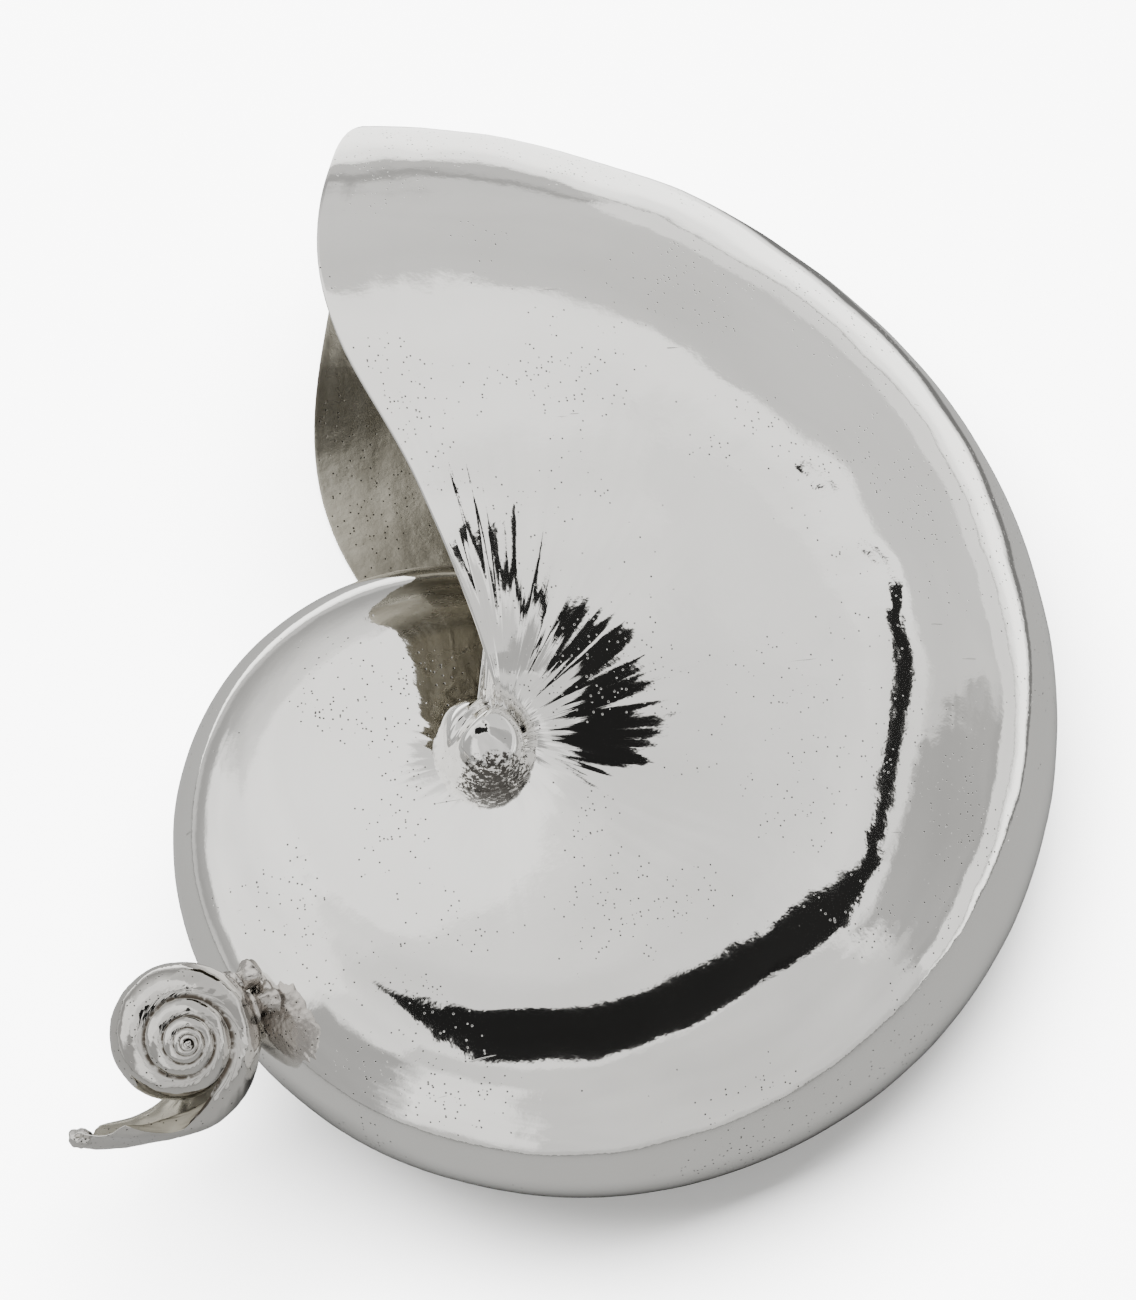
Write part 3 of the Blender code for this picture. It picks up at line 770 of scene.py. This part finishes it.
# %% The snail's wall
snail_surface = run_tree("snail_surface", COILED_SHELL, {
    "Section": snail_section, "Rows": 560, "Columns": 58, "Radius": SNAIL_RADIUS,
    "Growth": math.log(SNAIL_GROWTH) / TAU, "Coil": TAU * SNAIL_INNER_TURNS, "Bearing": 0.0, "Hand": -1.0,
    "Crowding": 1.15, "Flare": SNAIL_FLARE, "Flare stretch": SNAIL_FLARE_STRETCH,
    "Flare centre": (SNAIL_CENTRE, -SNAIL_DROP, 0.0), "Turn over": True, "Material": snail_silver})
add_tree(snail_surface, GROWTH_RELIEF, {
    "Dents": 0.0009, "Dent size": 0.006, "Folds": 0.0002, "Fold count": 5.0, "Lines": 0.0003,
    "Line count": 14.0})
snail_surface = plain_copy(snail_surface, "snail_surface")
only_material(snail_surface, snail_silver)
snail = give_wall(snail_surface, SNAIL_WALL, inside, 0.5)
snail.name = "snail"
snail.data.transform(SNAIL_POSE)


def add_lump(item, place, size, seed):
    """Joins a soft lump of metal to a mesh."""
    grown = bmesh.new()
    grown.from_mesh(item.data)
    pose = Matrix.Translation(place) @ Matrix.Diagonal(Vector(size)).to_4x4()
    made = bmesh.ops.create_icosphere(grown, subdivisions=5, radius=1.0, matrix=pose)["verts"]
    for vertex in made:
        out = vertex.co - place
        vertex.co = place + out * (1 + 0.25 * noise.noise(out.normalized() * 1.6 + Vector((seed, 0, 0))))
        for face in vertex.link_faces:
            face.smooth = True
    across = grown.verts.layers.float.get("across")
    for vertex in made:
        vertex[across] = 0.5
    grown.to_mesh(item.data)
    grown.free()


add_lump(snail, SNAIL_POSE @ Vector((0, 0, -0.0011)), (0.00085, 0.00085, 0.00085), 0.0)
tip = min((v.co for v in snail.data.vertices), key=lambda place: place.x + 0.2 * place.y).copy()
add_lump(snail, tip + Vector((0.0009, 0.0002, -0.0002)), (0.0023, 0.0016, 0.0015), 3.0)
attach(snail, "root")
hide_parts("snail_shell")
print("the snail has", len(snail.data.polygons), "faces")

# %% [markdown]
# ## The solder
#
# Two blobs of solder bridge the gap between the shells. Molten solder wets both metals and
# draws up into a waist, with a skirt at each end. Round them it has run out over both shells as
# a thin crust with a ragged edge, which follows the wall under it point by point.

# %% Solder beads
snail_tree = surface_tree(snail)


def make_bead(name, node, size):
    """A waisted blob of solder from one wall to the other, where the model has its bead."""
    low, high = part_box(node)
    centre = (low + high) / 2
    wall_point = wall_tree.find_nearest(centre)[0]
    snail_point = snail_tree.find_nearest(centre)[0]
    axis = (snail_point - wall_point).normalized()
    side = axis.orthogonal().normalized()
    other = axis.cross(side)
    spokes = 48
    rings = 26
    reach = (snail_point - wall_point).length / 2 + 0.0006
    middle = (snail_point + wall_point) / 2
    shape = bmesh.new()
    rows = []
    for i in range(rings + 1):
        t = -1 + 2 * i / rings
        row = []
        for j in range(spokes):
            a = TAU * j / spokes
            ray = side * math.cos(a) + other * math.sin(a)
            bare = middle + axis * (reach * t)
            skin = bare + ray * size
            wobble = 1 + 0.40 * noise.noise(skin * 420) + 0.08 * noise.noise(skin * 1500)
            row.append(shape.verts.new(bare + ray * size * (0.72 + 0.55 * t * t) * wobble))
        rows.append(row)
    ends = [shape.verts.new(middle + axis * reach * t) for t in (-1, 1)]
    cover_rings(shape, ends[0], rows)
    for j in range(spokes):
        shape.faces.new((ends[1], rows[-1][(j + 1) % spokes], rows[-1][j]))
    bmesh.ops.recalc_face_normals(shape, faces=shape.faces)
    item = smooth_object(shape, name, solder)
    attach(item, "root")
    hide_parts(node)
    return item


def make_crust(name, tree, near, along, length, width, lift):
    """A thin crust of solder with a ragged edge, laid on a wall."""
    point, normal = tree.find_nearest(near)[:2]
    u = (along - normal * along.dot(normal)).normalized()
    v = normal.cross(u)
    spokes = 144
    rings = 40
    shape = bmesh.new()
    crown = shape.verts.new(point + normal * lift)
    rows = []
    for i in range(1, rings + 1):
        row = []
        for j in range(spokes):
            a = TAU * j / spokes
            round_it = Vector((math.cos(a), math.sin(a), length * 100))
            edge = 1 + 0.22 * noise.noise(round_it * 1.4) + 0.14 * noise.noise(round_it * 7.0)
            rho = edge * i / rings
            flat = point + u * (length * rho * math.cos(a)) + v * (width * rho * math.sin(a))
            on_wall, up = tree.find_nearest(flat)[:2]
            bumps = 1 + 0.4 * noise.noise(on_wall * 500) + 0.2 * noise.noise(on_wall * 1500)
            height = lift * (1 - (i / rings) ** 4) * bumps - 0.00012 * (i / rings) ** 6
            row.append(shape.verts.new(on_wall + up * height))
        rows.append(row)
    cover_rings(shape, crown, rows)
    item = smooth_object(shape, name, solder)
    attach(item, "root")
    return item


joint = (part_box("solder_bead_upper")[0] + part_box("solder_bead_lower")[1]) / 2
make_crust("crust_on_nautilus", wall_tree, joint + Vector((0.0032, -0.0074, 0.0004)),
           Vector((0.5, -0.8, -0.35)), 0.0085, 0.0056, 0.00028)
make_crust("crust_on_snail", snail_tree, joint + Vector((-0.002, 0.0, 0.001)),
           Vector((0.4, -0.9, 0.0)), 0.0058, 0.0026, 0.00030)
upper_bead = make_bead("bead_upper", "solder_bead_upper", 0.0022)
make_bead("bead_lower", "solder_bead_lower", 0.0024)
print("two beads, the upper one of", len(upper_bead.data.polygons), "faces")

# %% [markdown]
# ## What stays of the engineering model
#
# The chamber walls, the siphuncle and the hatchling's coil keep their shape, and get the same
# tarnished plate as the inside of the wall.

# %% Inner pieces
for name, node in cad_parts.items():
    if name.startswith("septum") or name in ("siphuncle", "embryonic_coil"):
        node.data.materials.clear()
        node.data.materials.append(inside)
for curve in (nautilus_section, snail_section):
    bpy.data.objects.remove(curve, do_unlink=True)
print("inner pieces are plated")

# %% [markdown]
# ## The studio
#
# A mirror shows its room, so the room is half of the picture. It has soft boxes in front and to
# both sides, darker walls between them and one dark gap high up. Looked at directly, the table
# and the room are plain and pale. In the metal the table is painted dark, a painted shade and a
# painted reflection of the darker things round a real table, with a paler far part and a painted
# dark line. A wide soft light hangs almost overhead.

# %% Floor and room
def make_floor():
    """A pale table to the camera; in reflections it is painted dark as painted shade, with a pale far part
    and a painted dark line.
    """
    size = 3.0
    corners = [(-size, -size, 0), (size, -size, 0), (size, size, 0), (-size, size, 0)]
    mesh = bpy.data.meshes.new("table_top")
    mesh.from_pydata(corners, [], [(0, 1, 2, 3)])
    material = bpy.data.materials.new("pale_table")
    material.use_nodes = True
    shader = material.node_tree.nodes["Principled BSDF"]
    shader.inputs["Roughness"].default_value = 0.9
    graph = Graph(material.node_tree)
    here = graph.node("ShaderNodeTexCoord", output="Object")
    place = graph.node("ShaderNodeSeparateXYZ", values={0: here})
    # In glossy rays the table is painted: a dark painted shade, a paler far part and a painted dark line.
    beyond = place * 0.607 + place.also("Y") * 0.795 - place.between(0.0, 0.10, 0.0, 0.035)
    far_part = beyond.between(0.095, 0.115) * beyond.between(0.20, 0.45, 1.0, 0.7)
    # The groove here is no groove in the table: it is a painted dark line seen only in reflections.
    groove = beyond.between(0.080, 0.095) * beyond.between(0.115, 0.130, 1.0, 0.0)
    groove = groove * place.between(0.04, 0.07)
    painted_reflection_tone = (0.065 + far_part * 0.27 - groove * 0.13).call("MAXIMUM", 0.02)
    mirrored = graph.node("ShaderNodeLightPath", output="Is Glossy Ray")
    shade = graph.mix(mirrored, (0.95, 0.95, 0.95, 1.0), graph.vector(painted_reflection_tone, painted_reflection_tone, painted_reflection_tone * 0.98))
    graph.tree.links.new(shade.output, shader.inputs["Base Color"])
    mesh.materials.append(material)
    item = bpy.data.objects.new("table_top", mesh)
    bpy.context.scene.collection.objects.link(item)


def make_room():
    """Soft boxes, walls and one dark gap for the metal to show; plain white straight to the camera."""
    world = bpy.data.worlds.new("studio")
    bpy.context.scene.world = world
    world.use_nodes = True
    graph = Graph(world.node_tree)
    direction = graph.node("ShaderNodeTexCoord")
    place = graph.node("ShaderNodeSeparateXYZ", values={0: direction})
    x, y, z = place, place.also("Y"), place.also("Z")
    crumple = graph.noise(direction, 9.0, 5.0, 0.6) - 0.5
    bearing = x.call("ARCTAN2", -1.0 * y) * math.degrees(1) + crumple * 14.0
    level = z.call("ARCSINE") * math.degrees(1) + crumple * 9.0

    def window(value, low, high, blur):
        soft = blur * 0.35
        return value.between(low - soft, low + soft) * value.between(high - soft, high + soft, 1.0, 0.0)

    def toward(light, target, window_share):
        return light + (target - light) * window_share

    light = level.between(6.0, 50.0, 0.42, 1.25) + level.between(2.0, 7.0, 0.30, 0.0)
    light = light + y.between(0.10, 0.40) * window(level, 44.0, 66.0, 6.0) * 0.35
    light = light * level.between(66.0, 80.0, 1.0, 0.86)
    light = toward(light, 0.90, window(bearing, -48.0, 62.0, 6.0) * window(level, 3.0, 64.0, 5.0))
    light = light + window(bearing, -42.0, -18.0, 8.0) * window(level, 5.0, 52.0, 8.0) * 0.50
    light = toward(light, 1.55, window(bearing, -140.0, -80.0, 12.0) * window(level, 18.0, 66.0, 8.0))
    light = toward(light, 0.46, window(bearing, -76.0, -46.0, 8.0) * window(level, -3.0, 50.0, 8.0))
    light = toward(light, 0.88, window(bearing, 98.0, 168.0, 8.0) * window(level, 8.0, 46.0, 6.0))
    light = toward(light, 0.50, window(bearing, 66.0, 98.0, 6.0) * window(level, 14.0, 50.0, 6.0))
    light = toward(light, 1.25, window(bearing, 62.0, 158.0, 5.0) * window(level, -14.0, 9.0, 3.0))
    along = x + crumple * 0.07
    across = y + crumple * 0.12
    low_edge = (along - 0.10).call("MAXIMUM", 0.0) * 0.34 - 0.37
    high_edge = 0.03 - (along - 0.18).call("MAXIMUM", 0.0) * 0.20
    band = (across - low_edge).call("MINIMUM", high_edge - across).between(-0.01, 0.01)
    band = band * window(along, -0.24, 0.52, 0.015)
    arm = window(along + crumple * 0.10, 0.50, 0.58, 0.01) * window(across, -0.22, 0.35, 0.02)
    gap = band.call("MAXIMUM", arm) * z.between(0.4, 0.5)
    light = light * (0.98 + graph.noise(direction, 2.6, 2.0) * 0.40) * (1.0 - gap * 0.985)
    seen = graph.node("ShaderNodeLightPath")
    light = light * (1.0 - seen) + seen
    background = world.node_tree.nodes["Background"]
    background.inputs["Color"].default_value = (1.0, 0.995, 0.975, 1.0)
    world.node_tree.links.new(light.output, background.inputs["Strength"])


def make_key_light():
    """A wide soft light almost overhead, which softens the shadows and stays out of reflections."""
    place = Vector((-0.1, 0.4, 2.0))
    data = bpy.data.lights.new("key", "AREA")
    data.shape = "RECTANGLE"
    data.size = 2.2
    data.size_y = 2.0
    data.energy = 480.0
    item = bpy.data.objects.new("key", data)
    bpy.context.scene.collection.objects.link(item)
    item.location = place
    item.rotation_euler = place.to_track_quat("Z", "Y").to_euler()
    item.visible_glossy = False


make_floor()
make_room()
make_key_light()
print("the studio is lit")

# %% [markdown]
# ## The camera
#
# A long lens looks down on the shell from the front, rolled a little. It stands about a metre and
# a half away, in shell radii from the coil's centre, so that the far parts shrink only slightly.

# %% Camera
def make_camera():
    data = bpy.data.cameras.new("long_lens")
    data.sensor_width = 36.0
    data.lens = 239.1
    data.clip_start = 0.05
    data.clip_end = 20.0
    item = bpy.data.objects.new("camera", data)
    bpy.context.scene.collection.objects.link(item)
    elevation = math.radians(62.2)
    roll = math.radians(-9.87)
    item.location = coil_centre + SHELL_RADIUS * Vector((0.1223, -5.2258, 10.2821))
    item.rotation_euler = (Matrix.Rotation(math.pi / 2 - elevation, 3, "X")
                           @ Matrix.Rotation(roll, 3, "Z")).to_euler()
    bpy.context.scene.camera = item


make_camera()
print("the camera stands at", tuple(round(c, 3) for c in bpy.context.scene.camera.location))
